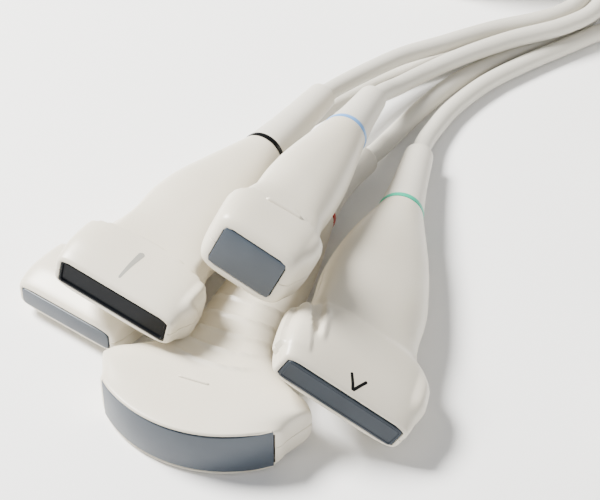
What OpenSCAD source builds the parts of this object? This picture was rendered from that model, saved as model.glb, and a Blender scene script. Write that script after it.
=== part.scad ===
// Set of five hand-held ultrasound transducer probes lying in a pile, each with its
// colour band, strain relief, lead, stored coil and connector with a locking lever.
// Every probe is drawn in its own frame (X across the lens, Y from the lens towards the
// lead, Z through the thickness) and is then placed by its pose.

/* [Handle shells] */
// Wall thickness of every handle shell (mm)
wall = 2; // [1.6:0.1:2.4]
// Gap between neighbouring pieces of one probe (mm)
gap = 0.1; // [0.05:0.05:0.2]
// Radius of every handle at its colour band (mm)
neck_r = 8; // [6.7:0.1:8.4]
// Length of each colour band along the handle (mm)
band_len = 2; // [1.4:0.1:3]

/* [Lens sizes] */
// Lens width of the low left linear probe (mm)
lens_w_a = 37.6; // [34:0.2:39]
// Lens width of the upper left linear probe (mm)
lens_w_b = 39.7; // [36:0.1:41]
// Lens width of the phased-array sector probe (mm)
lens_w_c = 21.8; // [18:0.2:24]
// Lens radius of the convex probe (mm)
lens_r_d = 43.3; // [41:0.1:46]
// Lens width of the right linear probe (mm)
lens_w_e = 41.6; // [38:0.2:43]
// Depth of each lens block behind its face (mm)
lens_depth = 4.2; // [3:0.1:5]

/* [Leads] */
// Diameter of every lead (mm)
cable_d = 7; // [5.8:0.1:7.2]
// Radius of each strain relief where the lead leaves it (mm)
boot_tip_r = 5.4; // [4.5:0.1:6.4]
// Mean radius of each stored coil (mm)
coil_r = 35.6; // [33:0.1:42]
// Clear gap between the turns of a coil (mm)
turn_gap = 0.2; // [0.1:0.05:0.4]
// Layers of turns in each coil
coil_layers = 4; // [4:1:4]

/* [Connectors] */
// Width of a connector body (mm)
plug_w = 42; // [36:1:50]
// Height of a connector body (mm)
plug_h = 28; // [24:0.5:33]
// Length of a connector body without its strain relief and shroud (mm)
plug_len = 60; // [50:1:72]
// Radius of the lever shaft (mm)
shaft_r = 2.5; // [2:0.1:3]
// Radial running clearance of the lever shaft (mm)
shaft_gap = 0.05; // [0.02:0.01:0.1]
// Length of a locking lever from its shaft to its tip (mm)
lever_len = 30; // [25:1:36]

/* [Hidden] */
$fn = 48;
shift = [22.5, 20.6, 0];

// Probe poses: yaw, pitch, roll in degrees, then the middle of the lens face.
pose_a = [-36.7, 0, 0, -76.9, -44.0, 8.6];
pose_b = [-29.2, -4.3, 12.1, -58.8, -59.6, 31.0];
pose_c = [-19.8, -12.2, 23.2, -16.2, -62.5, 50.0];
pose_d = [-21.9, 0, 0, -38.6, -101.0, 9.5];
pose_e = [-13.0, -5.6, 31.0, 12.2, -93.3, 20.9];

// Lens face height, handle length to the band, strain relief length, lens corner radius.
lens_t_a = 6.6; len_a = 88; boot_a = 40;
lens_t_b = 8.5; len_b = 94; boot_b = 44;
lens_t_c = 13.9; len_c = 95; boot_c = 34;
lens_t_d = 15.4; len_d = 116; half_angle_d = 41.4;
lens_t_e = 7.5; len_e = 102; boot_e = 38;
corner = 0.8;
fit_gap = 0.25;

// Handle sections: distance from the lens, half width, half thickness, squareness, and how
// far the section follows the curve of a convex lens. The nose sections stand off the lens.
function nose(w, t, rows) = [for (r = rows) [r[0], w/2 + r[1], t/2 + r[2], r[3], r[4]]];
chord_d = 2*lens_r_d*sin(half_angle_d);
sec_a = concat(nose(lens_w_a, lens_t_a, [[0, 1.9, 1.6, 5, 0], [3, 2.8, 3.1, 5, 0],
  [9, 3.6, 4.9, 4.6, 0], [20, 3.6, 5.2, 4, 0], [27, 2.4, 5.2, 3.4, 0]]),
  [[33, 18, 8.5, 3, 0], [42, 15.5, 8.5, 2.6, 0], [54, 14, 8.5, 2.4, 0], [70, 11, 8.4, 2.2, 0],
  [len_a - band_len/2, neck_r, neck_r, 2, 0]]);
sec_b = concat(nose(lens_w_b, lens_t_b, [[0, 1.9, 1.75, 5, 0], [3, 2.55, 3.15, 5, 0],
  [9, 3.35, 5.15, 4.6, 0], [20, 3.35, 6.15, 4, 0], [27, 2.35, 6.35, 3.4, 0]]),
  [[33, 20, 10.8, 3, 0], [42, 18, 11, 2.6, 0], [58, 16.6, 11, 2.4, 0], [72, 13.5, 10, 2.2, 0],
  [len_b - band_len/2, neck_r, neck_r, 2, 0]]);
sec_c = concat(nose(lens_w_c, lens_t_c, [[0, 2.7, 2.65, 4.5, 0], [3, 4.1, 4.05, 4.5, 0],
  [9, 5.3, 5.05, 4.2, 0], [20, 6.1, 5.25, 3.8, 0], [27, 5.1, 4.45, 3.4, 0]]),
  [[33, 14.4, 10.8, 3, 0], [42, 13.4, 10.6, 2.6, 0], [58, 12.6, 10.4, 2.4, 0],
  [76, 10.6, 9.2, 2.2, 0], [len_c - band_len/2, neck_r, neck_r, 2, 0]]);
sec_d = concat(nose(chord_d, lens_t_d, [[0, 1.9, 1.2, 6, 1], [3, 2.9, 1.5, 5, 0.97],
  [9, 6, 1.7, 4.6, 0.8], [16, 5.4, 1.7, 4, 0.55]]),
  [[27, 26.5, 9.4, 3.4, 0.25], [38, 18, 9.4, 3, 0], [50, 15, 9.4, 2.6, 0],
  [66, 14, 9.4, 2.4, 0], [90, 12, 9.2, 2.2, 0], [len_d - band_len/2, neck_r, neck_r, 2, 0]]);
sec_e = concat(nose(lens_w_e, lens_t_e, [[0, 1.8, 1.65, 5, 0], [3, 2.6, 3.25, 5, 0],
  [9, 3.4, 4.85, 4.6, 0], [20, 3.4, 5.85, 4, 0], [25, 2.2, 6.05, 3.6, 0]]),
  [[30, 20.4, 10, 3, 0], [40, 19.2, 10.4, 2.7, 0], [56, 18.6, 10.6, 2.5, 0],
  [78, 14.8, 10, 2.2, 0], [len_e - band_len/2, neck_r, neck_r, 2, 0]]);

tail = 35;
plug_boot = 18;
shroud = 15;
turn_pitch = cable_d + turn_gap;
coil_h = turn_pitch*(coil_layers - 1) + cable_d;
outer_turn = coil_r + turn_pitch/2;
foot = 0.1;

// Where the leads join their coils, and the level of the coils and connectors that lie on
// others. The right probe's coil keeps clear of the connectors behind it.
join_ab = [103.95, 217.6];
join_cd = [136.8, 198];
join_e = [136.8, 84 - plug_len];
coil_up = coil_h + 4*foot;
plug_up = plug_h + 1;
function middle(at, angle, z) = [at[0] - outer_turn*cos(angle), at[1] - outer_turn*sin(angle), z];
coil_a = middle(join_ab, 30, 0); coil_b = middle(join_ab, 30, coil_up);
coil_c = middle(join_cd, 180, coil_up); coil_d = middle(join_cd, 180, 0);
coil_e = middle(join_e, 180, 0);
function meet(at, z) = [at[0], at[1], z + foot + cable_d/2];

// Lead routes, from the tip of the strain relief to the first turn of the coil.
route_a = [[-0.4, 58.6, 8.6], [5, 66, 6.6], [14, 77, 4.6], [30, 91, 3.8], [52, 105, 3.6],
  [74, 116.5, 3.6], [97, 128, 3.6], [109, 138, 3.6], [115, 152, 3.6], [116, 170, 3.6],
  [113, 190, 3.6], [108, 206, 3.6], meet(join_ab, 0)];
route_b = [[8.3, 60.5, 20.7], [14, 68.5, 18.8], [24, 80, 16.5], [39, 94, 14.4], [54.6, 104, 12.6],
  [76, 116, 11.4], [100, 125.2, 11.2], [113, 136, 12], [119.5, 151, 16], [120, 170, 25],
  [116, 189, 32], [109.4, 206, 32.6], meet(join_ab, coil_up)];
route_c = [[26.5, 56.1, 22.7], [31, 63.5, 20], [37, 74, 15], [47.5, 87, 11.4], [62, 98, 11],
  [82, 109, 11.3], [104.5, 118.8, 11.2], [119, 130, 12], [127, 147, 16], [130, 164, 26],
  [133.6, 181, 32.3], meet(join_cd, coil_up)];
route_d = [[24, 39.7, 7.4], [28.5, 47, 5.6], [36, 59.5, 4], [46, 74.5, 3.6], [60, 91.5, 3.6],
  [80, 108, 3.6], [102, 122, 3.6], [115, 133, 3.6], [124.5, 147, 3.6], [130.5, 163, 3.6],
  [135, 181, 3.6], meet(join_cd, 0)];
route_e = [[43.6, 42.6, 7.2], [46, 51.5, 5.6], [50, 61, 4.2], [58, 75, 3.6], [72, 91, 3.6],
  [89, 104.4, 3.6], [107, 116.4, 3.6], [122, 126, 3.6], [137, 131.5, 3.6], [152, 128, 3.6],
  [162, 117, 3.6], [164, 101, 3.6], [158, 80, 3.6], [146, 56, 3.6], [138.6, 38, 3.6],
  meet(join_e, 0)];
// Bend of the convex probe's strain relief, in that probe's own frame.
bend_d = [[0.6, 127.4, -0.1], [2.3, 140, -0.8], [5.6, 153.9, -2.1]];

function spow(v, e) = sign(v)*pow(abs(v), e);
function sag(r, x) = r > 0 ? r - sqrt(max(r*r - x*x, 0)) : 0;
function slope(t, i, c) = let(n = len(t) - 1, a = max(i - 1, 0), b = min(i + 1, n))
  (t[b][c] - t[a][c])/(t[b][0] - t[a][0]);
function herm(t, i, y, c) = let(h = t[i + 1][0] - t[i][0], u = (y - t[i][0])/h)
  (2*u*u*u - 3*u*u + 1)*t[i][c] + (u*u*u - 2*u*u + u)*h*slope(t, i, c)
  + (3*u*u - 2*u*u*u)*t[i + 1][c] + (u*u*u - u*u)*h*slope(t, i + 1, c);
function between(t, i, y) = [y, herm(t, i, y, 1), herm(t, i, y, 2), herm(t, i, y, 3),
  herm(t, i, y, 4)];
function fine(t) = [for (i = [0:len(t) - 2], u = [0, 0.5])
  between(t, i, t[i][0] + u*(t[i + 1][0] - t[i][0])), t[len(t) - 1]];
function half_ring(s, r, h, m) = [for (i = [0:m]) let(a = 180*i/m, x = s[1]*spow(cos(a), 2/s[3]))
  [x, s[0] + s[4]*sag(r, x), h*(gap/2 + s[2]*spow(sin(a), 2/s[3]))]];
function inset(s, w, t) = s[0] < 3.1 ? [s[0], w/2 + fit_gap, t/2 + fit_gap, 24, s[4]]
  : [s[0], s[1] - wall, s[2] - wall, s[3], s[4]];

// Half of a handle: an outer and an inner loft closed by the seam and the two ends.
module half_shell(table, w, t, r, h) {
  m = 14;
  st = fine(table);
  ns = len(st);
  q = 2*(m + 1);
  pts = [for (s = st) concat(half_ring(s, r, h, m),
    [for (p = half_ring(inset(s, w, t), r, h, m)) p])];
  flat = [for (p = pts, v = p) v];
  o = m + 1;
  skin = [for (k = [0:ns - 2], i = [0:m - 1]) each [
    [k*q + i, k*q + i + 1, (k + 1)*q + i + 1], [k*q + i, (k + 1)*q + i + 1, (k + 1)*q + i],
    [k*q + o + i, (k + 1)*q + o + i + 1, k*q + o + i + 1],
    [k*q + o + i, (k + 1)*q + o + i, (k + 1)*q + o + i + 1]]];
  seam = [for (k = [0:ns - 2]) each [
    [k*q, (k + 1)*q, (k + 1)*q + o], [k*q, (k + 1)*q + o, k*q + o],
    [k*q + m, (k + 1)*q + o + m, (k + 1)*q + m], [k*q + m, k*q + o + m, (k + 1)*q + o + m]]];
  e = (ns - 1)*q;
  ends = [for (i = [0:m - 1]) each [
    [i, o + i, o + i + 1], [i, o + i + 1, i + 1],
    [e + i, e + o + i + 1, e + o + i], [e + i, e + i + 1, e + o + i + 1]]];
  faces = concat(skin, seam, ends);
  polyhedron(points = flat, faces = h > 0 ? faces : [for (f = faces) [f[0], f[2], f[1]]],
    convexity = 6);
}

module place(p) {
  translate(shift) translate([p[3], p[4], p[5]]) rotate([0, 0, p[0]]) rotate([p[1], 0, 0])
    rotate([0, p[2], 0]) children();
}

// A block along Y with rounded long edges.
module bar(w, t, y0, y1, c) {
  translate([0, y1, 0]) rotate([90, 0, 0]) linear_extrude(height = y1 - y0) {
    square([w - 2*c, t], center = true);
    square([w, t - 2*c], center = true);
    for (i = [-1, 1], j = [-1, 1]) translate([i*(w/2 - c), j*(t/2 - c)]) circle(r = c);
  }
}

module tube_y(r0, r1, y0, y1) {
  translate([0, y0, 0]) rotate([-90, 0, 0]) cylinder(r1 = r0, r2 = r1, h = y1 - y0);
}

module sector(r0, r1, t, a) {
  translate([0, r1, -t/2]) rotate([0, 0, -90 - a]) rotate_extrude(angle = 2*a, $fn = 96)
    translate([r0, 0]) square([r1 - r0, t]);
}

module flat_lens(w, t, hollow) {
  difference() {
    bar(w, t, hollow > 0 ? 0.6 : -0.4, lens_depth, corner);
    if (hollow > 0) translate([0, hollow - 29.4, 0]) rotate([0, 90, 0])
      cylinder(r = 30, h = w + 4, center = true, $fn = 96);
  }
}

module stack(w, t, y1) {
  bar(w - 1.6, t - 1.2, lens_depth + 0.3, lens_depth + 1.7, 0.3);
  bar(w - 2.4, t - 2, lens_depth + 1.7, y1, 0.4);
}

module board(w, y0, y1) {
  translate([-w/2, y0, -0.8]) cube([w, y1 - y0, 1.6]);
  translate([-w/2 + 2, y0 + 8, 0.8]) cube([w - 4, 10, 1.6]);
}

module band(y) {
  difference() {
    tube_y(neck_r + 0.2, neck_r + 0.2, y - band_len/2 + gap, y + band_len/2);
    tube_y(neck_r - 2, neck_r - 2, y - band_len, y + band_len);
  }
}

// Radius of a strain relief, from 1 at the colour band to 0 at its tip.
function taper(u) = boot_tip_r + (neck_r - boot_tip_r)*u;

module boot(y, len) {
  translate([0, y + band_len/2 + gap, 0]) rotate([-90, 0, 0]) rotate_extrude()
    polygon([[0, 0], [neck_r, 0], [taper(0.77), len*0.16], [taper(0.42), len*0.45],
      [taper(0.08), len*0.9], [boot_tip_r, len - 2.2], [boot_tip_r - 0.7, len - 1.2],
      [0, len - 1.2]]);
}

// Smooth curve through a route, two steps for each pair of points.
function curve(p, n) = let(m = len(p) - 1)
  [for (i = [0:m - 1], j = [0:n - 1]) let(u = j/n, a = i > 0 ? p[i - 1] : 2*p[0] - p[1],
    b = p[i], c = p[i + 1], d = i < m - 1 ? p[i + 2] : 2*p[m] - p[m - 1])
    0.5*(2*b + (c - a)*u + (2*a - 5*b + 4*c - d)*u*u + (3*b - a - 3*c + d)*u*u*u), p[m]];
function unit(v) = v/norm(v);

module sweep(p, rad, sides) {
  n = len(p);
  pts = [for (k = [0:n - 1]) let(t = unit(p[min(k + 1, n - 1)] - p[max(k - 1, 0)]),
    s = unit(cross(t, [0, 0, 1])), u = cross(s, t))
    for (i = [0:sides - 1]) let(a = 360*(i + 0.5)/sides)
      p[k] + rad[k]*(s*cos(a) + u*sin(a))];
  polyhedron(points = pts, faces = concat(
    [[for (i = [0:sides - 1]) i]], [[for (i = [sides - 1:-1:0]) (n - 1)*sides + i]],
    [for (k = [0:n - 2], i = [0:sides - 1]) let(j = (i + 1) % sides) each [
      [k*sides + i, (k + 1)*sides + i, (k + 1)*sides + j],
      [k*sides + i, (k + 1)*sides + j, k*sides + j]]]), convexity = 6);
}

// A lead from its strain relief to the coil, and its tail from the coil to the connector.
// side points from the coil's middle to where the tail leaves it, away points along the tail,
// and plug_z is the level that the connector lies on.
module lead(route, cen, side, away, plug_z) {
  r = cable_d/2/cos(18);
  top = cen[2] + foot + coil_h - cable_d/2;
  level = plug_z + plug_h/2;
  a = [cen[0], cen[1], 0] + outer_turn*side;
  q = [a + [0, 0, top - 1] + away*12, a + [0, 0, top - 5.5] + away*20,
    a + [0, 0, level] + away*28, a + [0, 0, level] + away*tail];
  translate(shift) {
    sweep(route, [for (v = route) r], 10);
    sweep(q, [for (v = q) r], 10);
  }
}

module coil(cen) {
  w = turn_pitch + cable_d;
  r = cable_d/2;
  translate(shift) translate(cen + [0, 0, foot]) rotate_extrude($fn = 96)
    translate([coil_r - w/2, 0]) {
      translate([r, 0]) square([w - 2*r, coil_h]);
      translate([0, r]) square([w, coil_h - 2*r]);
      for (i = [r, w - r], j = [r, coil_h - r]) translate([i, j]) circle(r = r);
    }
}

// Connector frame: Y from the end of its strain relief to its mating face.
module at_plug(cen, side, away, heading, plug_z) {
  translate(shift) translate([cen[0], cen[1], plug_z + plug_h/2] + outer_turn*side + tail*away)
    rotate([0, 0, heading]) children();
}

module plug(side) {
  y0 = plug_boot;
  y1 = plug_boot + plug_len;
  c = 5;
  difference() {
    union() {
      tube_y(5.2, 7, 0, y0 + 1);
      translate([0, 0, -plug_h/2]) linear_extrude(height = plug_h) {
        translate([-plug_w/2 + c, y0]) square([plug_w - 2*c, plug_len]);
        translate([-plug_w/2, y0 + c]) square([plug_w, plug_len - 2*c]);
        for (i = [-1, 1], y = [y0 + c, y1 - c]) translate([i*(plug_w/2 - c), y]) circle(r = c);
      }
      bar(plug_w - 6, plug_h - 6, y1 - 1, y1 + shroud, 2);
    }
    bar(plug_w - 10, plug_h - 10, y1 + 3, y1 + shroud + 1, 1);
    translate([side*(plug_w/2 - 6), y0 + plug_len/2, 0]) rotate([0, side*90, 0])
      cylinder(r = shaft_r + shaft_gap, h = 8);
  }
}

module contacts() {
  y1 = plug_boot + plug_len;
  bar(plug_w - 14, plug_h - 14, y1 + 3 + gap, y1 + shroud - 1.5, 1);
}

module lever(side) {
  translate([0, plug_boot + plug_len/2, 0]) rotate([0, side*90, 0]) {
    translate([0, 0, plug_w/2 - 5.5]) cylinder(r = shaft_r, h = 6);
    translate([0, 0, plug_w/2 + 0.4]) cylinder(r = 7, h = 3.4);
    translate([-3.5, -lever_len, plug_w/2 + 0.4]) cube([7, lever_len, 3.4]);
    translate([0, -lever_len, plug_w/2 + 0.4]) cylinder(r = 3.5, h = 3.4);
  }
}

shell_c = [0.93, 0.92, 0.89]; lens_g = [0.4, 0.44, 0.5]; dark = [0.04, 0.04, 0.05];
lead_c = [0.84, 0.83, 0.8]; board_c = [0.1, 0.35, 0.2]; stack_c = [0.7, 0.6, 0.3];
plug_c = [0.86, 0.86, 0.84]; gold = [0.83, 0.68, 0.3]; grey = [0.45, 0.46, 0.48];

// Directions from a coil's middle to where its tail leaves, and then along the tail.
back = [0, 1, 0]; left = [-1, 0, 0]; right = [1, 0, 0]; front = [0, -1, 0];

module a_shell_top() { color(shell_c) place(pose_a) half_shell(sec_a, lens_w_a, lens_t_a, 0, 1); }
module a_shell_bottom() { color(shell_c) place(pose_a) half_shell(sec_a, lens_w_a, lens_t_a, 0, -1); }
module a_lens() { color(lens_g) place(pose_a) flat_lens(lens_w_a, lens_t_a, 0); }
module a_array() { color(stack_c) place(pose_a) stack(lens_w_a, lens_t_a, 15); }
module a_flex() { color(board_c) place(pose_a) board(20, 16, 62); }
module a_band() { color([0.62, 0.62, 0.64]) place(pose_a) band(len_a); }
module a_boot() { color(lead_c) place(pose_a) boot(len_a, boot_a); }
module a_cable() { color(lead_c) lead(route_a, coil_a, back, left, 0); }
module a_coil() { color(lead_c) coil(coil_a); }
module a_plug() { color(plug_c) at_plug(coil_a, back, left, 90, 0) plug(-1); }
module a_contacts() { color(gold) at_plug(coil_a, back, left, 90, 0) contacts(); }
module a_lever() { color(grey) at_plug(coil_a, back, left, 90, 0) lever(-1); }

module b_shell_top() { color(shell_c) place(pose_b) half_shell(sec_b, lens_w_b, lens_t_b, 0, 1); }
module b_shell_bottom() { color(shell_c) place(pose_b) half_shell(sec_b, lens_w_b, lens_t_b, 0, -1); }
module b_lens() { color(dark) place(pose_b) flat_lens(lens_w_b, lens_t_b, 1); }
module b_array() { color(stack_c) place(pose_b) stack(lens_w_b, lens_t_b, 15); }
module b_flex() { color(board_c) place(pose_b) board(22, 16, 66); }
module b_band() { color(dark) place(pose_b) band(len_b); }
module b_boot() { color(lead_c) place(pose_b) boot(len_b, boot_b); }
module b_cable() { color(lead_c) lead(route_b, coil_b, back, left, plug_up); }
module b_coil() { color(lead_c) coil(coil_b); }
module b_plug() { color(plug_c) at_plug(coil_b, back, left, 90, plug_up) plug(1); }
module b_contacts() { color(gold) at_plug(coil_b, back, left, 90, plug_up) contacts(); }
module b_lever() { color(grey) at_plug(coil_b, back, left, 90, plug_up) lever(1); }

module c_shell_top() { color(shell_c) place(pose_c) half_shell(sec_c, lens_w_c, lens_t_c, 0, 1); }
module c_shell_bottom() { color(shell_c) place(pose_c) half_shell(sec_c, lens_w_c, lens_t_c, 0, -1); }
module c_lens() { color(lens_g) place(pose_c) flat_lens(lens_w_c, lens_t_c, 0); }
module c_array() { color(stack_c) place(pose_c) stack(lens_w_c, lens_t_c, 15); }
module c_flex() { color(board_c) place(pose_c) board(15, 16, 64); }
module c_band() { color([0.66, 0.78, 0.9]) place(pose_c) band(len_c); }
module c_boot() { color(lead_c) place(pose_c) boot(len_c, boot_c); }
module c_cable() { color(lead_c) lead(route_c, coil_c, right, front, plug_up); }
module c_coil() { color(lead_c) coil(coil_c); }
module c_plug() { color(plug_c) at_plug(coil_c, right, front, 180, plug_up) plug(-1); }
module c_contacts() { color(gold) at_plug(coil_c, right, front, 180, plug_up) contacts(); }
module c_lever() { color(grey) at_plug(coil_c, right, front, 180, plug_up) lever(-1); }

module d_shell_top() { color(shell_c) place(pose_d) half_shell(sec_d, chord_d, lens_t_d, lens_r_d, 1); }
module d_shell_bottom() { color(shell_c) place(pose_d) half_shell(sec_d, chord_d, lens_t_d, lens_r_d, -1); }
module d_lens() { color(lens_g) place(pose_d)
  sector(lens_r_d - 3.4, lens_r_d, lens_t_d, half_angle_d - 0.4); }
module d_array() { color(stack_c) place(pose_d) translate([0, 4, 0])
  sector(lens_r_d - 12, lens_r_d - 4, lens_t_d - 2, half_angle_d - 4); }
module d_flex() { color(board_c) place(pose_d) board(20, 22, 78); }
module d_band() { color([0.7, 0.23, 0.16]) place(pose_d) band(len_d); }
module d_boot() {
  y = len_d + band_len/2 + gap;
  p = concat([[0, y, 0]], curve(concat([[0, y + 1, 0]], bend_d), 3));
  n = len(p) - 1;
  color(lead_c) place(pose_d) sweep(p, [for (i = [0:n])
    i < n ? taper(1 - i/(n - 1)) : boot_tip_r - 0.7], 16);
}
module d_cable() { color(lead_c) lead(route_d, coil_d, right, front, 0); }
module d_coil() { color(lead_c) coil(coil_d); }
module d_plug() { color(plug_c) at_plug(coil_d, right, front, 180, 0) plug(1); }
module d_contacts() { color(gold) at_plug(coil_d, right, front, 180, 0) contacts(); }
module d_lever() { color(grey) at_plug(coil_d, right, front, 180, 0) lever(1); }

module e_shell_top() { color(shell_c) place(pose_e) half_shell(sec_e, lens_w_e, lens_t_e, 0, 1); }
module e_shell_bottom() { color(shell_c) place(pose_e) half_shell(sec_e, lens_w_e, lens_t_e, 0, -1); }
module e_lens() { color(lens_g) place(pose_e) flat_lens(lens_w_e, lens_t_e, 0); }
module e_array() { color(stack_c) place(pose_e) stack(lens_w_e, lens_t_e, 15); }
module e_flex() { color(board_c) place(pose_e) board(24, 16, 72); }
module e_band() { color([0.36, 0.78, 0.68]) place(pose_e) band(len_e); }
module e_boot() { color(lead_c) place(pose_e) boot(len_e, boot_e); }
module e_cable() { color(lead_c) lead(route_e, coil_e, left, front, 0); }
module e_coil() { color(lead_c) coil(coil_e); }
module e_plug() { color(plug_c) at_plug(coil_e, left, front, 180, 0) plug(1); }
module e_contacts() { color(gold) at_plug(coil_e, left, front, 180, 0) contacts(); }
module e_lever() { color(grey) at_plug(coil_e, left, front, 180, 0) lever(1); }

a_shell_top();
a_shell_bottom();
a_lens();
a_array();
a_flex();
a_band();
a_boot();
a_cable();
a_coil();
a_plug();
a_contacts();
a_lever();
b_shell_top();
b_shell_bottom();
b_lens();
b_array();
b_flex();
b_band();
b_boot();
b_cable();
b_coil();
b_plug();
b_contacts();
b_lever();
c_shell_top();
c_shell_bottom();
c_lens();
c_array();
c_flex();
c_band();
c_boot();
c_cable();
c_coil();
c_plug();
c_contacts();
c_lever();
d_shell_top();
d_shell_bottom();
d_lens();
d_array();
d_flex();
d_band();
d_boot();
d_cable();
d_coil();
d_plug();
d_contacts();
d_lever();
e_shell_top();
e_shell_bottom();
e_lens();
e_array();
e_flex();
e_band();
e_boot();
e_cable();
e_coil();
e_plug();
e_contacts();
e_lever();
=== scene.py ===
# %% [markdown]
# # A pile of five ultrasound probes
# An ultrasound probe is a handle of two moulded shells with a soft lens in its nose and a lead
# at its tail. Five of them lie in a pile here: two low linear ones on the left, a phased-array
# one on top, a convex one in front and a linear one on the right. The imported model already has
# every piece at its true size, so this script loads it as a frame and models the looks on it.

# %% Load the frame
from math import cos, pi, radians, sin, sqrt

import bmesh
import bpy
import numpy as np
from mathutils import Matrix, Vector


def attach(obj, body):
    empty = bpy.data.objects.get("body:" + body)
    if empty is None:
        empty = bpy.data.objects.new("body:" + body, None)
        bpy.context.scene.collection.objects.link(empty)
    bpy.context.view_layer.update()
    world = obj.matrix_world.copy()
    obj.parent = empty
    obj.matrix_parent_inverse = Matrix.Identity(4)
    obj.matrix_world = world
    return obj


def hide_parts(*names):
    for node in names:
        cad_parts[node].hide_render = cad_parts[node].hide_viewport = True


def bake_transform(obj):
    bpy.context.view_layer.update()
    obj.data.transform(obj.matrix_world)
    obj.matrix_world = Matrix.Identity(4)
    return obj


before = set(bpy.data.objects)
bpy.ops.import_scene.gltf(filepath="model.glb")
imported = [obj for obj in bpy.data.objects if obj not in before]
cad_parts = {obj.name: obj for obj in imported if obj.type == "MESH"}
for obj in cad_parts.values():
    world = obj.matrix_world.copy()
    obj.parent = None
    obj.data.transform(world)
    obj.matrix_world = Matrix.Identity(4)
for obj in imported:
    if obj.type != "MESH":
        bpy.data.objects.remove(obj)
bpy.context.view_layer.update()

# %% [markdown]
# Probe makers measure in millimetres and Blender's unit here is the metre. The shapes below are
# written in millimetres in the pile's own frame, so one matrix does the scaling and the shift to
# the frame of the model, and nobody has to count zeros.

# %% Millimetres to the frame
PILE = Matrix.Scale(0.001, 4) @ Matrix.Translation((22.5, 20.6, 0))


def spot(point):
    """A point of the pile in millimetres, as metres in the model's frame."""
    return PILE @ Vector(point)


# %% [markdown]
# ## The camera
# The pile is seen from in front at 42 degrees above the table through a long lens, which keeps
# the probes' edges nearly parallel. The camera stands 600 mm from the middle of the pile and
# aims a hair below it, so that the stored coils stay above the frame.

# %% Camera
ELEVATION = radians(42)
DISTANCE = 600
AIM_DOWN = 0.0016
camera = bpy.data.objects.new("camera", bpy.data.cameras.new("camera"))
bpy.context.collection.objects.link(camera)
camera.data.lens = 102.86
camera.data.sensor_width = 36
camera.data.clip_start = 0.01
camera.location = spot((0, -DISTANCE * cos(ELEVATION), DISTANCE * sin(ELEVATION)))
camera.rotation_euler = (pi / 2 - ELEVATION - AIM_DOWN, 0, 0)
bpy.context.scene.camera = camera

# %% [markdown]
# ## The leads
# A transducer lead is a thick, limp bundle of hair-fine coaxial wires in a soft jacket, about
# 7 mm across and 2 m long. It is drawn as a curve with a round bevel, because a curve follows a
# centre line, and is then kept as a mesh, whose box is exact. Each one leaves its strain relief,
# comes down to the table, runs back with the others and is wound into a neat coil of seven to
# eight turns, two wide and four high, from which a short tail goes to the connector.

# %% Routes of the leads
LEAD_D = 7.0
TURN = 7.2
COIL_R = 35.6
PLUG_H = 28
TAIL = 35
ROUTES = {
    "a": [(-0.4, 58.6, 8.6), (5, 66, 6.6), (14, 77, 4.6), (30, 91, 3.8), (52, 105, 3.6),
          (74, 116.5, 3.6), (97, 128, 3.6), (109, 138, 3.6), (115, 152, 3.6), (116, 170, 3.6),
          (113, 190, 3.6), (108, 206, 3.6), (104, 217.6, 3.6)],
    "b": [(8.3, 60.5, 20.7), (14, 68.5, 18.8), (24, 80, 16.5), (39, 94, 14.4), (54.6, 104, 12.6),
          (76, 116, 11.4), (100, 125.2, 11.2), (113, 136, 12), (119.5, 151, 16), (120, 170, 25),
          (116, 189, 32), (109.4, 206, 32.6), (104, 217.6, 32.6)],
    "c": [(26.5, 56.1, 22.7), (31, 63.5, 20), (37, 74, 15), (47.5, 87, 11.4), (62, 98, 11),
          (82, 109, 11.3), (104.5, 118.8, 11.2), (119, 130, 12), (127, 147, 16), (130, 164, 26),
          (133.6, 181, 32.3), (136.8, 198, 32.6)],
    "d": [(24, 39.7, 7.4), (28.5, 47, 5.6), (36, 59.5, 4), (46, 74.5, 3.6), (60, 91.5, 3.6),
          (80, 108, 3.6), (102, 122, 3.6), (115, 133, 3.6), (124.5, 147, 3.6), (130.5, 163, 3.6),
          (135, 181, 3.6), (136.8, 198, 3.6)],
    "e": [(43.6, 42.6, 7.2), (46, 51.5, 5.6), (50, 61, 4.2), (58, 75, 3.6), (72, 91, 3.6),
          (89, 104.4, 3.6), (107, 116.4, 3.6), (122, 126, 3.6), (137, 131.5, 3.6), (152, 128, 3.6),
          (162, 117, 3.6), (164, 101, 3.6), (158, 80, 3.6), (146, 56, 3.6), (138.6, 38, 3.6),
          (136.8, 24, 3.6)],
}
# Coil centre and base, first angle, turns (negative is clockwise), and the tail's direction.
COILS = {
    "a": ((70, 198, 0.1), 30, 7 + 1 / 6, (-1, 0)),
    "b": ((70, 198, 29.1), 30, 7 + 1 / 6, (-1, 0)),
    "c": ((176, 198, 29.1), 180, -7.5, (0, -1)),
    "d": ((176, 198, 0.1), 180, -7.5, (0, -1)),
    "e": ((176, 24, 0.1), 180, 8, (0, -1)),
}


# %% [markdown]
# A curve through given points comes from the Catmull-Rom formula, which passes through
# every point with no corners. The coil is a spiral: each turn keeps its ring for 300 degrees and
# moves to the next ring over the last 60.

# %% The line of a lead
def smooth_line(points, steps=6):
    p = [Vector(q) for q in points]
    p = [2 * p[0] - p[1]] + p + [2 * p[-1] - p[-2]]
    line = []
    for a, b, c, d in zip(p, p[1:], p[2:], p[3:]):
        for u in (j / steps for j in range(steps)):
            line.append(0.5 * (2 * b + (c - a) * u + (2 * a - 5 * b + 4 * c - d) * u * u
                               + (3 * b - a - 3 * c + d) * u ** 3))
    return line + [p[-2]]


RINGS = [(1, 0), (-1, 0), (-1, 1), (1, 1), (1, 2), (-1, 2), (-1, 3), (1, 3), (1, 3)]


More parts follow.
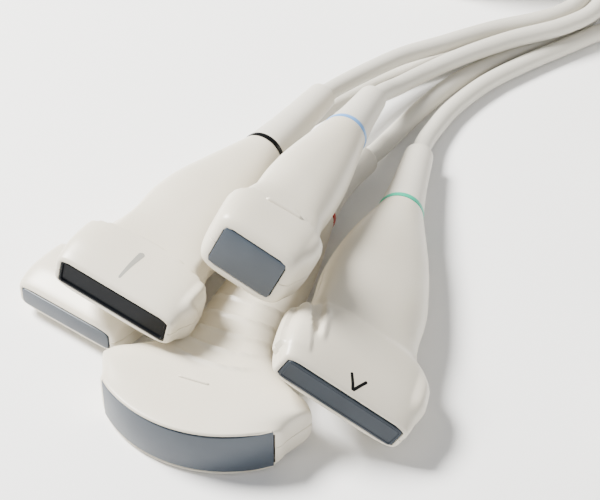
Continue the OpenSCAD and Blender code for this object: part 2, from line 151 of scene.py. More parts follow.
def coil_line(centre, start, turns, per_turn=30):
    line, total = [], abs(turns)
    for i in range(1, int(total * per_turn) + 1):
        t = i / per_turn
        k = min(int(t), 7)
        u = min(max((t - k - 5 / 6) * 6, 0), 1)
        u = u * u * (3 - 2 * u)
        side, layer = [RINGS[k][j] * (1 - u) + RINGS[k + 1][j] * u for j in (0, 1)]
        angle = radians(start + 360 * t * (1 if turns > 0 else -1))
        r = COIL_R + side * TURN / 2
        line.append(Vector((centre[0] + r * cos(angle), centre[1] + r * sin(angle),
                            centre[2] + LEAD_D / 2 + layer * TURN)))
    return line


def tail_line(centre, end, away):
    a = Vector((*away, 0))
    low = centre[2] - 0.1 + PLUG_H / 2
    drops = [(9, end.z - 0.3), (14, end.z - 1.8), (19, (end.z + low) / 2 + 1), (24, low + 1.4),
             (29, low + 0.2), (TAIL, low)]
    return smooth_line([end] + [Vector((end.x, end.y, z)) + a * s for s, z in drops], 2)[1:]


# %% Make the leads
def lead(name):
    centre, start, turns, away = COILS[name]
    coil = coil_line(centre, start, turns)
    end = coil[-1]
    line = [spot(p) for p in smooth_line(ROUTES[name]) + coil + tail_line(centre, end, away)]
    curve = bpy.data.curves.new(f"lead_{name}", "CURVE")
    curve.dimensions = "3D"
    curve.bevel_depth = LEAD_D / 2000
    curve.bevel_resolution = 4
    curve.use_fill_caps = True
    spline = curve.splines.new("POLY")
    spline.points.add(len(line) - 1)
    for point, p in zip(spline.points, line):
        point.co = (*p, 1)
    spline.use_smooth = True
    tube = bpy.data.objects.new("tube", curve)
    bpy.context.collection.objects.link(tube)
    drawn = tube.evaluated_get(bpy.context.evaluated_depsgraph_get())
    bm = bmesh.new()
    bm.from_mesh(drawn.to_mesh())
    bmesh.ops.remove_doubles(bm, verts=bm.verts, dist=0.000002)
    bmesh.ops.recalc_face_normals(bm, faces=bm.faces)
    mesh = bpy.data.meshes.new(f"lead_{name}")
    bm.to_mesh(mesh)
    bm.free()
    bpy.data.objects.remove(tube)
    mesh.shade_smooth()
    mesh.set_sharp_from_angle(angle=radians(50))
    piece = bpy.data.objects.new(f"lead_{name}", mesh)
    bpy.context.collection.objects.link(piece)
    length = sum((b - a).length for a, b in zip(line, line[1:]))
    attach(piece, "base")
    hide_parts(f"{name}_cable", f"{name}_coil")
    print(f"lead {name}: {length:.3f} m")
    return piece, line, length


leads = {name: lead(name) for name in "abcde"}

# %% [markdown]
# ## Finishes
# A shader needs linear colour and people write colours as sRGB hex values, so one function
# turns one into the other. A second one adds a node with its settings and links, which keeps
# every material below to a few lines.

# %% Colour and node helpers
def linear(code):
    """An sRGB hex colour as the linear colour that a shader takes."""
    parts = [int(code[i:i + 2], 16) / 255 for i in (0, 2, 4)]
    return (*[v / 12.92 if v <= 0.04045 else ((v + 0.055) / 1.055) ** 2.4 for v in parts], 1)


def add(tree, kind, links=(), **settings):
    """A new node. Settings name its properties or its inputs, and links are (input, socket)."""
    node = tree.nodes.new("ShaderNode" + kind)
    for key, value in settings.items():
        if hasattr(node, key):
            setattr(node, key, value)
        else:
            node.inputs[key.replace("_", " ")].default_value = value
    for key, socket in links:
        tree.links.new(socket, node.inputs[key])
    return node


def per_metre(size_mm):
    """Scale of a noise whose features are that many millimetres across."""
    return 1000 / size_mm


# %% [markdown]
# Nearly everything here is a moulded polymer. What tells one from another is its colour, how
# far that colour drifts over the piece, how rough the mould's surface was, and the grain that
# it left. Real spark-eroded grain is about 0.1 mm, too fine to show at this distance, so it is
# drawn several times coarser. Two noises do the work: a wide one for the drift of colour and
# gloss from handling, and a fine one for the grain.

# %% Moulded polymers
def moulded(name, colour, roughness, drift="FFFFFF", drift_mm=25, grain_mm=0.6, grain_um=10,
            ior=1.5, sheen=0.0, shine=0.5):
    material = bpy.data.materials.new(name)
    material.use_nodes = True
    tree = material.node_tree
    shader = tree.nodes["Principled BSDF"]
    where = add(tree, "TexCoord").outputs["Object"]
    wide = add(tree, "TexNoise", [("Vector", where)], Scale=per_metre(drift_mm), Detail=4.0)
    fine = add(tree, "TexNoise", [("Vector", where)], Scale=per_metre(grain_mm), Detail=3.0)
    tint = add(tree, "ValToRGB", [("Fac", wide.outputs["Fac"])])
    tint.color_ramp.elements[0].position = 0.3
    tint.color_ramp.elements[1].position = 0.75
    tint.color_ramp.elements[0].color = linear(drift)
    tint.color_ramp.elements[1].color = linear(colour)
    gloss = add(tree, "MapRange", [("Value", wide.outputs["Fac"])])
    gloss.inputs["To Min"].default_value = roughness + 0.05
    gloss.inputs["To Max"].default_value = roughness - 0.05
    bump = add(tree, "Bump", [("Height", fine.outputs["Fac"])], Strength=1.0, Distance=grain_um * 1e-6)
    tree.links.new(tint.outputs["Color"], shader.inputs["Base Color"])
    tree.links.new(gloss.outputs["Result"], shader.inputs["Roughness"])
    tree.links.new(bump.outputs["Normal"], shader.inputs["Normal"])
    shader.inputs["IOR"].default_value = ior
    shader.inputs["Sheen Weight"].default_value = sheen
    shader.inputs["Specular IOR Level"].default_value = shine
    return material


# Housing: injection-moulded PBT blend, warm white and satin, with broad soft highlights.
HOUSING = moulded("housing_pbt", "DDD6C6", 0.36, drift="D8D0BE", ior=1.55)
# Lens: cast silicone rubber, matt, with a slight bloom from gel and cleaning. A darker grey is
# on the right linear probe. The black one shines less than its IOR says, as wiped rubber does.
LENS_GREY = moulded("lens_silicone_grey", "38424D", 0.42, drift="333C47", drift_mm=9, sheen=0.05)
LENS_DARK = moulded("lens_silicone_dark_grey", "27313C", 0.42, drift="232C36", drift_mm=9,
                    shine=0.35)
LENS_BLACK = moulded("lens_silicone_black", "04070C", 0.3, drift="070B11", drift_mm=9, ior=1.41,
                     shine=0.12)
# Colour bands: thin rings of dyed ABS, glossier than the handle.
BANDS = {
    "grey": moulded("band_abs_grey", "9A9B9E", 0.3, drift="949598", drift_mm=6),
    "black": moulded("band_abs_black", "050608", 0.25, drift="08090B", drift_mm=6, shine=0.2),
    "blue": moulded("band_abs_blue", "6FA3DF", 0.3, drift="689CD9", drift_mm=6),
    "red": moulded("band_abs_red", "B02410", 0.3, drift="A6200E", drift_mm=6),
    "green": moulded("band_abs_green", "22B795", 0.3, drift="1DAE8D", drift_mm=6),
}
# Strain relief: soft elastomer overmoulded on the lead, duller than the handle.
RELIEF = moulded("strain_relief_tpe", "D8D3C8", 0.5, drift="D2CDC1", sheen=0.15)
# Lead: extruded PVC jacket, a little greyer, matt with a faint waxy sheen.
JACKET = moulded("lead_pvc_jacket", "CFCBC1", 0.48, drift="C7C3B8", drift_mm=40, sheen=0.1)
# Connector body: textured ABS; its coarse grain hides scratches.
CONNECTOR = moulded("connector_abs", "DDDCD7", 0.5, drift="D6D5CF", grain_mm=0.8, grain_um=40)
# Contact block: glass-filled polymer, black, with a fibrous mottled surface.
CONTACT = moulded("contact_lcp_black", "1B1C1E", 0.45, drift="26272A", drift_mm=4, grain_um=30)
# Lever: grey glass-filled nylon.
LEVER = moulded("lever_nylon_grey", "74777B", 0.45, drift="6C6F73", grain_um=25)
# Inside the handle: a loaded epoxy backing and the green solder mask of a flexible board.
STACK = moulded("acoustic_epoxy", "B79A58", 0.5, drift="A88B4C", drift_mm=3)
BOARD = moulded("board_solder_mask", "1C5A35", 0.35, drift="174E2D", drift_mm=5)
# Ink: black pad-printed epoxy ink. The grey is painted shade, standing in for the shade in a tapered
# groove that is not cut.
INK = moulded("ink_black", "08090A", 0.45, drift="0B0C0D", drift_mm=3, shine=0.2)
GROOVE_SHADE_GREY = moulded("painted_groove_shade_grey", "97968F", 0.42, drift="908F88", drift_mm=5)
print("materials:", len(bpy.data.materials))


# %% [markdown]
# ## Making a finished piece
# Every piece is built in millimetres in its own frame, merged, turned to face outwards and
# only then moved to its place in the mesh itself, so that its object stays at the origin like
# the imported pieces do. A smooth surface keeps its crisp edges by the angle between faces.

# %% Finish a piece
BODY = {"a": "probe_a", "b": "probe_b", "c": "probe_c", "d": "base", "e": "probe_e"}


def finish(bm, name, matrix, material, body, stands_for=(), crisp=38):
    bmesh.ops.remove_doubles(bm, verts=bm.verts, dist=0.002)
    bmesh.ops.dissolve_degenerate(bm, edges=bm.edges, dist=0.001)
    bmesh.ops.recalc_face_normals(bm, faces=bm.faces)
    bm.transform(matrix)
    mesh = bpy.data.meshes.new(name)
    bm.to_mesh(mesh)
    bm.free()
    mesh.shade_smooth()
    mesh.set_sharp_from_angle(angle=radians(crisp))
    mesh.materials.append(material)
    piece = bpy.data.objects.new(name, mesh)
    bpy.context.collection.objects.link(piece)
    if body:
        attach(piece, body)
    if stands_for:
        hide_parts(*stands_for)
    return piece


# %% [markdown]
# ## The five probes
# A probe's own frame has X across the lens, Y from the lens towards the lead and Z through the
# thickness. Its place in the pile is a yaw, a pitch, a roll and the middle of its lens face.

# %% Poses
POSES = {
    "a": (-36.7, 0, 0, -76.9, -44.0, 8.6),
    "b": (-29.2, -4.3, 12.1, -58.8, -59.6, 31.0),
    "c": (-19.8, -12.2, 23.2, -16.2, -62.5, 50.0),
    "d": (-21.9, 0, 0, -38.6, -101.0, 9.5),
    "e": (-13.0, -5.6, 31.0, 12.2, -93.3, 20.9),
}


def placed(name):
    yaw, pitch, roll, *middle = POSES[name]
    turn = Matrix.Rotation(radians(yaw), 4, "Z") @ Matrix.Rotation(radians(pitch), 4, "X")
    return PILE @ Matrix.Translation(middle) @ turn @ Matrix.Rotation(radians(roll), 4, "Y")


# %% [markdown]
# A handle is lofted through sections. Each row says how far the section is from the lens, its
# half width, half thickness, squareness (2 is an ellipse, 5 nearly a rectangle) and how much it
# follows the arc of a convex lens. Nose rows stand off the lens, so they follow its size.

# %% Handle sections
NECK_R = 8.0
WALL = 2.0
GAP = 0.1
ARC_R = 43.3
ARC_HALF = 41.4
PROBES = {
    "a": dict(width=37.6, height=6.6, length=88, boot=40, edge=1.0, corner=1.6, band="grey",
              nose=[(0, 1.9, 1.6, 5, 0), (3, 2.8, 3.1, 5, 0), (9, 3.6, 4.9, 4.6, 0),
                    (20, 3.6, 5.2, 4, 0), (27, 2.4, 5.2, 3.4, 0)],
              grip=[(33, 18, 8.5, 3, 0), (42, 15.5, 8.5, 2.6, 0), (54, 14, 8.5, 2.4, 0),
                    (70, 11, 8.4, 2.2, 0)]),
    "b": dict(width=39.7, height=8.5, length=94, boot=44, edge=0.9, corner=1.2, band="black",
              nose=[(0, 1.9, 1.75, 5, 0), (3, 2.55, 3.15, 5, 0), (9, 3.35, 5.15, 4.6, 0),
                    (20, 3.35, 6.15, 4, 0), (27, 2.35, 6.35, 3.4, 0)],
              grip=[(33, 20, 10.8, 3, 0), (42, 18, 11, 2.6, 0), (58, 16.6, 11, 2.4, 0),
                    (72, 13.5, 10, 2.2, 0)]),
    "c": dict(width=21.8, height=13.9, length=95, boot=34, edge=1.8, corner=0.8, band="blue",
              nose=[(0, 2.7, 2.65, 4.5, 0), (3, 4.1, 4.05, 4.5, 0), (9, 5.3, 5.05, 4.2, 0),
                    (20, 6.1, 5.25, 3.8, 0), (27, 5.1, 4.45, 3.4, 0)],
              grip=[(33, 14.4, 10.8, 3, 0), (42, 13.4, 10.6, 2.6, 0), (58, 12.6, 10.4, 2.4, 0),
                    (76, 10.6, 9.2, 2.2, 0)]),
    "d": dict(width=2 * ARC_R * sin(radians(ARC_HALF)), height=15.4, length=116, boot=38,
              edge=0.7, corner=0.8, band="red",
              nose=[(0, 1.9, 1.2, 6, 1), (3, 3.1, 1.5, 5, 0.97), (9, 6.5, 1.7, 4.6, 0.8),
                    (16, 6.4, 1.7, 4.2, 0.55), (22, 3.6, 1.7, 3.8, 0.48)],
              grip=[(28, 28, 9.4, 3.4, 0.3), (34, 22.6, 9.4, 3.2, 0.1), (41, 17, 9.4, 2.9, 0),
                    (50, 15, 9.4, 2.6, 0),
                    (66, 14, 9.4, 2.4, 0), (90, 12, 9.2, 2.2, 0)]),
    "e": dict(width=41.6, height=7.5, length=102, boot=38, edge=0.9, corner=1.3, band="green",
              nose=[(0, 1.8, 1.65, 5, 0), (3, 2.6, 3.25, 5, 0), (9, 3.4, 4.85, 4.6, 0),
                    (20, 3.4, 5.85, 4, 0), (25, 2.2, 6.05, 3.6, 0)],
              grip=[(30, 20.4, 10, 3, 0), (40, 19.2, 10.4, 2.7, 0), (56, 18.6, 10.6, 2.5, 0),
                    (78, 14.8, 10, 2.2, 0)]),
}
for probe in PROBES.values():
    half_w, half_t = probe["width"] / 2, probe["height"] / 2
    probe["rows"] = [(y, half_w + w, half_t + t, n, k) for y, w, t, n, k in probe["nose"]]
    probe["rows"] += probe["grip"] + [(probe["length"] - 1, NECK_R, NECK_R, 2, 0)]
print("sections:", {name: len(probe["rows"]) for name, probe in PROBES.items()})


# %% Section at any distance
def section(rows, y):
    """Half width, half thickness, squareness and arc share, y mm behind the lens."""
    i = max([j for j in range(len(rows) - 1) if rows[j][0] <= y] or [0])
    low, high = rows[i], rows[i + 1]
    h = high[0] - low[0]
    u = (y - low[0]) / h

    def slope(j, c):
        a, b = rows[max(j - 1, 0)], rows[min(j + 1, len(rows) - 1)]
        return (b[c] - a[c]) / (b[0] - a[0])

    return [(2 * u ** 3 - 3 * u * u + 1) * low[c] + (u ** 3 - 2 * u * u + u) * h * slope(i, c)
            + (3 * u * u - 2 * u ** 3) * high[c] + (u ** 3 - u * u) * h * slope(i + 1, c)
            for c in range(1, 5)]


# %% [markdown]
# A superellipse drawn by equal angles crowds its points in the corners. The surface detail
# needs them evenly spread, so the outline is drawn finely and walked in equal steps.

# %% Half outline of a section
COLUMNS = 96


def outline(half_w, half_t, squareness):
    """X and Z of the upper half, from +X over the top to -X, in equal steps."""
    a = np.linspace(0, pi, 361)
    x = half_w * np.copysign(np.abs(np.cos(a)) ** (2 / squareness), np.cos(a))
    z = half_t * np.abs(np.sin(a)) ** (2 / squareness)
    walked = np.concatenate([[0], np.cumsum(np.hypot(np.diff(x), np.diff(z)))])
    steps = np.linspace(0, walked[-1], COLUMNS + 1)
    return np.interp(steps, walked, x), np.interp(steps, walked, z)


# %% [markdown]
# ## Relief of the handles
# Moulded handles are never plain lofts. The nose ends in a brim that stops the fingers, the
# convex probe has grip ridges across its neck, and the right linear probe has a pad, a notch
# and a rib on its left for a needle guide. Each is a height added along the surface, which
# keeps the wall whole and needs no Boolean.

# %% Relief functions
def ease(v, low, high):
    u = np.clip((v - low) / (high - low), 0, 1)
    return u * u * (3 - 2 * u)


def hill(v, middle, half):
    u = np.clip(np.abs(v - middle) / half, 0, 1)
    return (1 - u * u) ** 2


def relief_a(x, y, z):
    return -1.0 * ease(y, 21, 23) * (1 - ease(y, 27, 46))


def relief_b(x, y, z):
    edge = 21.5 - 0.006 * x * x
    waist = ease(y, edge, edge + 5) * (1 - ease(y, 32, 50))
    brim = -2.5 * ease(y, edge - 0.5, edge + 0.5) * (1 - ease(y, 23, 48))
    bulge = 1.5 * ease(x, 19, 22) * ease(y, 4, 10) * (1 - ease(y, 15, 21))
    arc = 12.6 - 0.06 * (z + 1) ** 2
    cap = -0.8 * ease(y, arc - 0.4, arc + 0.4) * (1 - ease(y, 16, 21)) * ease(x, 21, 22.6)
    return brim - 2.0 * waist * ease(np.abs(x), 14, 20) + bulge + cap


def relief_c(x, y, z):
    edge = 21.8 - 0.018 * x * x
    bulge = 0.9 * ease(x, 12, 16) * ease(y, 5, 11) * (1 - ease(y, 15, 20))
    return bulge - 2.2 * ease(y, edge - 0.5, edge + 0.5) * (1 - ease(y, 24, 48))


def relief_d(x, y, z):
    ridges = sum(hill(y - 0.012 * x * x, at, 1.3) for at in (28.4, 35.1, 42.3, 50.1, 58))
    return 0.7 * ridges * (1 - ease(np.abs(x), 10, 15)) * np.where(z > 0, 1.0, 0.1)


def relief_e(x, y, z):
    notch = -21.7 + 0.263 * (24.5 - y)
    rib = -15.4 - 0.09 * (y - 11.2)
    cut = -1.7 * ease(x, notch - 0.3, notch + 0.5) * (1 - ease(x, rib - 1.4, rib - 0.4))
    cut = cut * ease(y, 9.5, 16) * (1 - ease(y, 25, 34))
    raised = 0.6 * hill(x, rib + 0.4, 1.5) * ease(y, 9, 13) * (1 - ease(y, 22, 25))
    pad = 0.5 * (1 - ease(x, notch - 0.8, notch)) * ease(y, 3, 5) * (1 - ease(y, 24, 27))
    lip = 1.7 * ease(-x, 20.4, 22) * (1 - ease(np.abs(z - 0.8), 2.4, 3.4))
    lip = lip * ease(y, 4.6, 5.6) * (1 - ease(y, 20.5, 23))
    bulge = 1.4 * ease(x, 18, 22) * ease(y, 5, 12) * (1 - ease(y, 18, 27))
    waist = -0.8 * ease(y, 25, 29) * (1 - ease(y, 34, 50))
    return np.where(z > 0, 1.0, 0.0) * (cut + raised + pad) + lip + bulge + waist


RELIEF_OF = {"a": relief_a, "b": relief_b, "c": relief_c, "d": relief_d, "e": relief_e}


# %% [markdown]
# ## Handle shells
# Each half is one closed wall: a grid wraps from the seam over the outside to the other seam
# and back along the inside. Its rows start at the lens opening, cross the narrow bezel, turn
# the rounded front edge and run to the colour band. The seam's edges are eased by a third of a
# millimetre, which is what makes a parting line show.

# %% Rows of a shell
STEP = 0.75
SEAM_R = 0.35
FIT = 0.25
RIM_DEPTH = 3.0


def sag(x):
    return ARC_R - np.sqrt(ARC_R ** 2 - np.minimum(np.abs(x), ARC_R - 1) ** 2)


def shell_rows(name):
    """(share of the way across the bezel, distance from the lens, inset of the front edge)."""
    probe = PROBES[name]
    edge, end = probe["edge"], probe["length"] - 1
    rows = [(0, 0, edge), (0.5, 0, edge), (1, 0, edge)]
    rows += [(1, edge * (1 - cos(radians(a))), edge * (1 - sin(radians(a)))) for a in range(15, 91, 15)]
    count = round((end - 0.3 - edge) / STEP)
    rows += [(1, edge + (end - 0.3 - edge) * i / count, 0) for i in range(1, count + 1)]
    return rows + [(1, end, 0.25)]


def opening(probe, clearance):
    return outline(probe["width"] / 2 + clearance, probe["height"] / 2 + clearance, 24)


def shell_loop(name, share, y, inset, side):
    """One row of the wall as three arrays, from the +X seam round and back again."""
    probe = PROBES[name]
    arc = 1 if name == "d" else 0
    half_w, half_t, n, k = section(probe["rows"], y)
    x, z = outline(half_w - inset, half_t - inset, n)
    z = SEAM_R + z * (half_t - inset - SEAM_R) / (half_t - inset)
    if share < 1:
        near_x, near_z = opening(probe, 2 * FIT - 0.05)
        x, z = near_x + share * (x - near_x), near_z + share * (z - near_z)
    tangent = np.array([np.gradient(x), np.gradient(z)])
    normal = np.array([tangent[1], -tangent[0]]) / np.maximum(np.hypot(*tangent), 1e-6)
    lift = RELIEF_OF[name](x, y, side * z) * ease(y, 1, 3)
    x, z = x + normal[0] * lift, z + normal[1] * lift
    if y <= RIM_DEPTH:
        in_x, in_z = opening(probe, FIT)
        in_y, in_arc = FIT + y * (RIM_DEPTH - FIT) / RIM_DEPTH, arc
    else:
        in_x, in_z = outline(half_w - WALL, half_t - WALL, n)
        in_y, in_arc = y, k
    out_y = y + (k if share == 1 else arc) * sag(x)
    in_y = in_y + in_arc * sag(in_x)
    thin = np.minimum(lift, 0)
    in_x, in_z = in_x + normal[0] * thin, np.maximum(in_z + normal[1] * thin, 0)
    r = min(SEAM_R, (x[0] - in_x[0]) / 3)

    def corner(e, sign):
        return ([x[e] - sign * 0.3 * r, x[e] - sign * r], [out_y[e]] * 2, [0.3 * r, 0])

    left, right = corner(-1, -1), corner(0, 1)
    xs = np.concatenate([x, left[0], in_x[::-1], right[0][::-1], x[:1]])
    ys = np.concatenate([out_y, left[1], in_y[::-1], right[1][::-1], out_y[:1]])
    zs = np.concatenate([z, left[2], in_z[::-1], right[2][::-1], z[:1]])
    return np.stack([xs, ys, side * (zs + GAP / 2)], 1)


# %% [markdown]
# The first and last rows are closed by one more row halfway through the wall, where the
# outside and the inside meet. Merging the doubles then leaves one watertight solid.

# %% Make the shells
def shell(name, half, side):
    rows = [shell_loop(name, *row, side) for row in shell_rows(name)]
    for at in (0, -1):
        loop = rows[at]
        n = COLUMNS + 1
        mid = loop.copy()
        mid[:n] = (loop[:n] + loop[n + 2:2 * n + 2][::-1]) / 2
        mid[n + 2:2 * n + 2] = mid[:n][::-1]
        mid[n:n + 2] = mid[n - 1]
        mid[2 * n + 2:] = mid[0]
        rows.insert(0 if at == 0 else len(rows), mid)
    across, along = len(rows[0]) - 1, len(rows) - 1
    bm = bmesh.new()
    bmesh.ops.create_grid(bm, x_segments=across, y_segments=along, size=0.5)
    for v in bm.verts:
        v.co = rows[round((v.co.y + 0.5) * along)][round((v.co.x + 0.5) * across)]
    piece = finish(bm, f"probe_{name}_shell_{half}", placed(name), HOUSING, BODY[name],
                   [f"{name}_shell_{half}"])
    print(piece.name, len(piece.data.polygons), "faces")


for name in PROBES:
    shell(name, "top", 1)
    shell(name, "bottom", -1)


# %% [markdown]
# ## Lenses
# A lens is a cast rubber block that stands a few tenths of a millimetre proud of the bezel. The
# flat ones are a cube with its long edges rounded. The black one is a shallow trough, and the
# right one has a fine line inset round its face. The convex one is a profile spun round the
# lens's centre of curvature.

# %% Block lenses
LENS_DEPTH = 4.2


def soften(bm, offset, segments, angle=40, keep=lambda edge: True):
    edges = [e for e in bm.edges if len(e.link_faces) == 2 and keep(e)
             and e.calc_face_angle(0) > radians(angle)]
    bmesh.ops.bevel(bm, geom=edges, offset=offset, segments=segments, profile=0.5,
                    affect="EDGES", clamp_overlap=True, material=-1)


def front_face(bm):
    """The largest face that looks out of the nose."""
    bm.normal_update()
    outward = [f for f in bm.faces if f.normal.y < -0.99]
    return [max(outward, key=lambda f: f.calc_area())]


def block_lens(name, front, material):
    probe = PROBES[name]
    bm = bmesh.new()
    bmesh.ops.create_cube(bm, size=1)
    size = (probe["width"], LENS_DEPTH - front, probe["height"])
    bmesh.ops.scale(bm, vec=size, verts=bm.verts)
    bmesh.ops.translate(bm, vec=(0, (LENS_DEPTH + front) / 2, 0), verts=bm.verts)
    soften(bm, probe["corner"], 5, keep=lambda e: abs(e.verts[0].co.y - e.verts[1].co.y) > 1)
    soften(bm, 0.25 if name != "b" else 0.12, 2)
    if name == "b":
        bmesh.ops.inset_region(bm, faces=front_face(bm), thickness=0.45)
        bmesh.ops.inset_region(bm, faces=front_face(bm), thickness=0.35, depth=-0.6)
    if name == "e":
        bmesh.ops.inset_region(bm, faces=front_face(bm), thickness=0.35)
        bmesh.ops.inset_region(bm, faces=front_face(bm), thickness=0.15, depth=0.15)
        bmesh.ops.inset_region(bm, faces=front_face(bm), thickness=0.2, depth=-0.25)
    return finish(bm, f"probe_{name}_lens", placed(name), material, BODY[name], [f"{name}_lens"])


for name, rubber in (("a", LENS_GREY), ("c", LENS_GREY), ("e", LENS_DARK)):
    block_lens(name, -0.4, rubber)
block_lens("b", 0.1, LENS_BLACK)


# %% Convex lens
def arc_lens(name):
    probe = PROBES[name]
    half_t, depth = probe["height"] / 2, 3.4
    bm = bmesh.new()
    bmesh.ops.create_grid(bm, x_segments=1, y_segments=1, size=0.5)
    bmesh.ops.scale(bm, vec=(2 * half_t, depth, 1), verts=bm.verts)
    bmesh.ops.delete(bm, geom=bm.faces[:], context="FACES_ONLY")
    bmesh.ops.bevel(bm, geom=bm.verts[:], offset=0.35, segments=3, profile=0.5,
                    affect="VERTICES", material=-1)
    bm.transform(Matrix.Translation((0, depth / 2 - 0.15, 0)) @ Matrix.Rotation(pi / 2, 4, "Y"))
    centre, half = (0, ARC_R, 0), radians(ARC_HALF - 0.05)
    bmesh.ops.rotate(bm, cent=centre, matrix=Matrix.Rotation(-half, 3, "Z"), verts=bm.verts)
    bmesh.ops.spin(bm, geom=bm.verts[:] + bm.edges[:], cent=centre, axis=(0, 0, 1),
                   angle=2 * half, steps=96, use_duplicate=False)
    bmesh.ops.holes_fill(bm, edges=[e for e in bm.edges if e.is_boundary])
    return finish(bm, f"probe_{name}_lens", placed(name), LENS_GREY, BODY[name],
                  [f"{name}_lens"])


arc_lens("d")


# %% [markdown]
# ## Colour bands and strain reliefs
# Both are turned shapes: a profile of a few points is spun round the probe's axis. A strain
# relief is stiff at the handle and limp at its tip, so when a probe is lifted it bends over
# its whole length. The straight ones are baked in place and belong to no probe.

# %% Turned shapes
def turned(profile, steps=72):
    """A solid spun round Y from (radius, y) points that run from the axis to the axis."""
    bm = bmesh.new()
    verts = [bm.verts.new((r, y, 0)) for r, y in profile]
    edges = [bm.edges.new(pair) for pair in zip(verts, verts[1:])]
    bmesh.ops.spin(bm, geom=verts + edges, cent=(0, 0, 0), axis=(0, 1, 0), angle=2 * pi,
                   steps=steps, use_merge=True, use_duplicate=False)
    return bm


def band(name):
    probe = PROBES[name]
    y0, y1 = probe["length"] - 0.9, probe["length"] + 1
    r = NECK_R + 0.2
    profile = [(6, y0), (r - 0.25, y0), (r - 0.07, y0 + 0.07), (r, y0 + 0.3), (r, y1 - 0.3),
               (r - 0.07, y1 - 0.07), (r - 0.25, y1), (6, y1), (6, y0)]
    finish(turned(profile, 96), f"probe_{name}_band", placed(name), BANDS[probe["band"]], BODY[name],
           [f"{name}_band"])


for name in PROBES:
    band(name)

# %% Strain reliefs
TIP_R = 5.4


def relief_profile(start, length):
    """Radius along a strain relief, closed on the axis at both ends."""
    drop = NECK_R - TIP_R
    marks = [(0, NECK_R), (0.16, TIP_R + 0.77 * drop), (0.45, TIP_R + 0.42 * drop),
             (0.9, TIP_R + 0.08 * drop), (1, TIP_R)]
    end = length - 2.2
    body = [(p.y, start + p.x * end) for p in smooth_line([(u, r, 0) for u, r in marks], 10)]
    tip = [(TIP_R - 0.7 * (1 - cos(radians(a))), start + end + 1.0 * sin(radians(a)))
           for a in (30, 60, 90)]
    close = [(3.0, start + end + 1.0), (0, start + end + 0.9)]
    return [(0, start), (NECK_R - 0.3, start)] + body[1:] + tip + close


def straight_relief(name):
    probe = PROBES[name]
    start = probe["length"] + 1 + GAP
    bm = turned(relief_profile(start, probe["boot"]), 64)
    piece = finish(bm, f"probe_{name}_strain_relief", placed(name), RELIEF, None,
                   [f"{name}_boot"])
    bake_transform(piece)


for name in "abce":
    straight_relief(name)

# %% [markdown]
# The convex probe lies under the others, and its strain relief is already bent down to the
# table. It is turned straight and then bent: every point keeps its place on its own ring, and
# the ring follows the bent axis.

# %% Bent strain relief
def bent_relief(name):
    start = PROBES[name]["length"] + 1 + GAP
    axis = smooth_line([(0, start, 0), (0, start + 1, 0), (0.6, 127.4, -0.1), (2.3, 140, -0.8),
                        (5.6, 153.9, -2.1)], 12)
    walked = np.cumsum([0] + [(b - a).length for a, b in zip(axis, axis[1:])])
    length = walked[-1] + 1.2
    bm = turned(relief_profile(start, length), 64)
    for v in bm.verts:
        s = min(max(v.co.y - start, 0), walked[-1] - 0.001)
        i = int(np.searchsorted(walked, s, side="right")) - 1
        along = (axis[i + 1] - axis[i]).normalized()
        at = axis[i] + along * (v.co.y - start - walked[i])
        across = along.cross((0, 0, 1)).normalized()
        v.co = at + across * v.co.x + across.cross(along) * v.co.z
    finish(bm, f"probe_{name}_strain_relief", placed(name), RELIEF, BODY[name],
           [f"{name}_boot"])


bent_relief("d")


# %% [markdown]
# ## Marks on the handles
# A probe carries a mark that shows which end of the image is which: a tapered groove, a raised
# tick or a printed chevron. Each is a narrow strip draped on the handle. The groove is not cut,
# and its strip is a flat grey of painted shade. A grid is laid along a line on the surface, given
# a crown if it is raised, and given thickness.

# %% Height of the upper surface
def surface(name, x, y):
    half_w, half_t, n, k = section(PROBES[name]["rows"], y)
    z = half_t * max(1 - abs(x / half_w) ** n, 0.01) ** (1 / n)
    lift = float(RELIEF_OF[name](np.float64(x), y, np.float64(1)))
    return GAP / 2 + SEAM_R + z * (half_t - SEAM_R) / half_t + lift


# %% Draped strips
ROOT = 0.6


def strip(name, title, line, widths, crown, proud, material, segments=28):
    first, last = [Vector((*p, 0)) for p in line]
    total, along = (last - first).length, (last - first).normalized()
    across = Vector((along.y, -along.x, 0))
    bm = bmesh.new()
    bmesh.ops.create_grid(bm, x_segments=6, y_segments=segments, size=0.5)
    for v in bm.verts:
        u, share = 2 * v.co.x, v.co.y + 0.5
        half = widths[0] + (widths[1] - widths[0]) * share
        end = min(share, 1 - share) * total
        round_off = sqrt(max(1 - max(1 - end / half, 0) ** 2, 0.02))
        p = first + along * (share * total) + across * u * half * round_off
        height = proud + crown * (1 - u * u) * min(1, end / (1.2 * half))
        v.co = (p.x, p.y, surface(name, p.x, p.y) + height)
    made = bmesh.ops.extrude_face_region(bm, geom=bm.faces[:])
    low = [v for v in made["geom"] if isinstance(v, bmesh.types.BMVert)]
    bmesh.ops.translate(bm, vec=(0, 0, -ROOT), verts=low)
    finish(bm, title, placed(name), material, BODY[name])


# Painted shade: a flat grey wedge lies on the surface where the handle has a tapered groove.
strip("b", "probe_b_wedge_groove_shade", [(-0.85, 3.2), (0.2, 15)], (0.4, 1.15), 0, 0.03,
      GROOVE_SHADE_GREY)
strip("c", "probe_c_raised_tick", [(-6.3, 17.2), (6.6, 18.4)], (0.75, 0.75), 0.75, 0.02,
      HOUSING)
strip("d", "probe_d_raised_line", [(-6.9, 19.8), (3.7, 19.9)], (0.5, 0.5), 0.5, 0.02,
      HOUSING)
for title, foot in (("left", (-2.4, 5.6)), ("right", (3.3, 5.6))):
    strip("e", f"probe_e_chevron_{title}", [(0.35, 0.9), foot], (0.48, 0.48), 0, 0.03,
          INK)

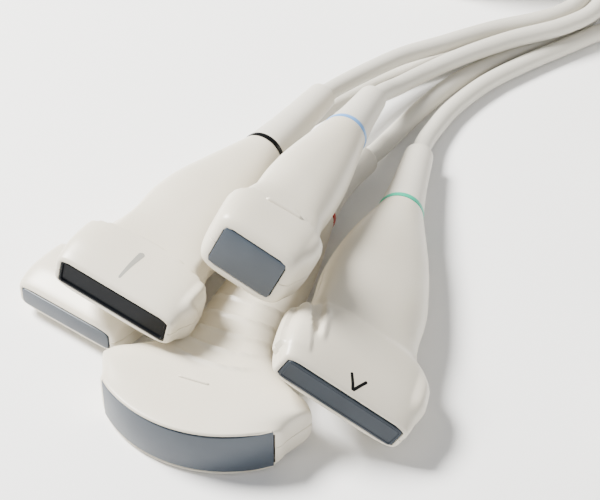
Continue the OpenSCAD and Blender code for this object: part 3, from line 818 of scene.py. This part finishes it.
# %% [markdown]
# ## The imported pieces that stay
# The acoustic stack and its board are inside the handle, and the connectors, their contacts and
# their levers already have their true shape. They keep their meshes and take a real finish.

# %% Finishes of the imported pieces
KEPT = {"array": STACK, "flex": BOARD, "plug": CONNECTOR, "contacts": CONTACT, "lever": LEVER}
for name in PROBES:
    for part, material in KEPT.items():
        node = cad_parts[f"{name}_{part}"]
        node.data.materials.clear()
        node.data.materials.append(material)
for piece, *_ in leads.values():
    piece.data.materials.append(JACKET)
print("packed pieces kept:", len(KEPT) * len(PROBES))

# %% [markdown]
# ## Floor and light
# The floor is plain, pale and matt. One large soft light stands high behind and to the left, so
# shadows fall to the right. A weak one in front and an even sky fill them.

# %% Floor
bm = bmesh.new()
bmesh.ops.create_grid(bm, x_segments=1, y_segments=1, size=3)
mesh = bpy.data.meshes.new("floor")
bm.to_mesh(mesh)
bm.free()
floor = bpy.data.objects.new("floor", mesh)
floor.location.z = -0.0002
bpy.context.collection.objects.link(floor)
paint = bpy.data.materials.new("floor_matt_white")
paint.use_nodes = True
shader = paint.node_tree.nodes["Principled BSDF"]
shader.inputs["Base Color"].default_value = linear("F7F7F7")
shader.inputs["Roughness"].default_value = 0.9
shader.inputs["Specular IOR Level"].default_value = 0.2
mesh.materials.append(paint)

# %% Lights
def area_light(name, at, size, power, colour="FFFFFF"):
    light = bpy.data.lights.new(name, "AREA")
    light.shape = "DISK"
    light.size = size
    light.energy = power
    light.color = linear(colour)[:3]
    lamp = bpy.data.objects.new(name, light)
    lamp.location = at
    lamp.rotation_euler = (Vector((0.02, 0, 0)) - Vector(at)).to_track_quat("-Z", "Y").to_euler()
    bpy.context.collection.objects.link(lamp)


area_light("key", (-0.75, 0.35, 1.05), 0.5, 80, "FFFDF8")
area_light("fill", (0.7, -1.1, 0.8), 1.0, 5, "F4F8FF")
world = bpy.data.worlds.new("studio")
bpy.context.scene.world = world
world.use_nodes = True
world.node_tree.nodes["Background"].inputs["Color"].default_value = (1, 1, 1, 1)
world.node_tree.nodes["Background"].inputs["Strength"].default_value = 0.42
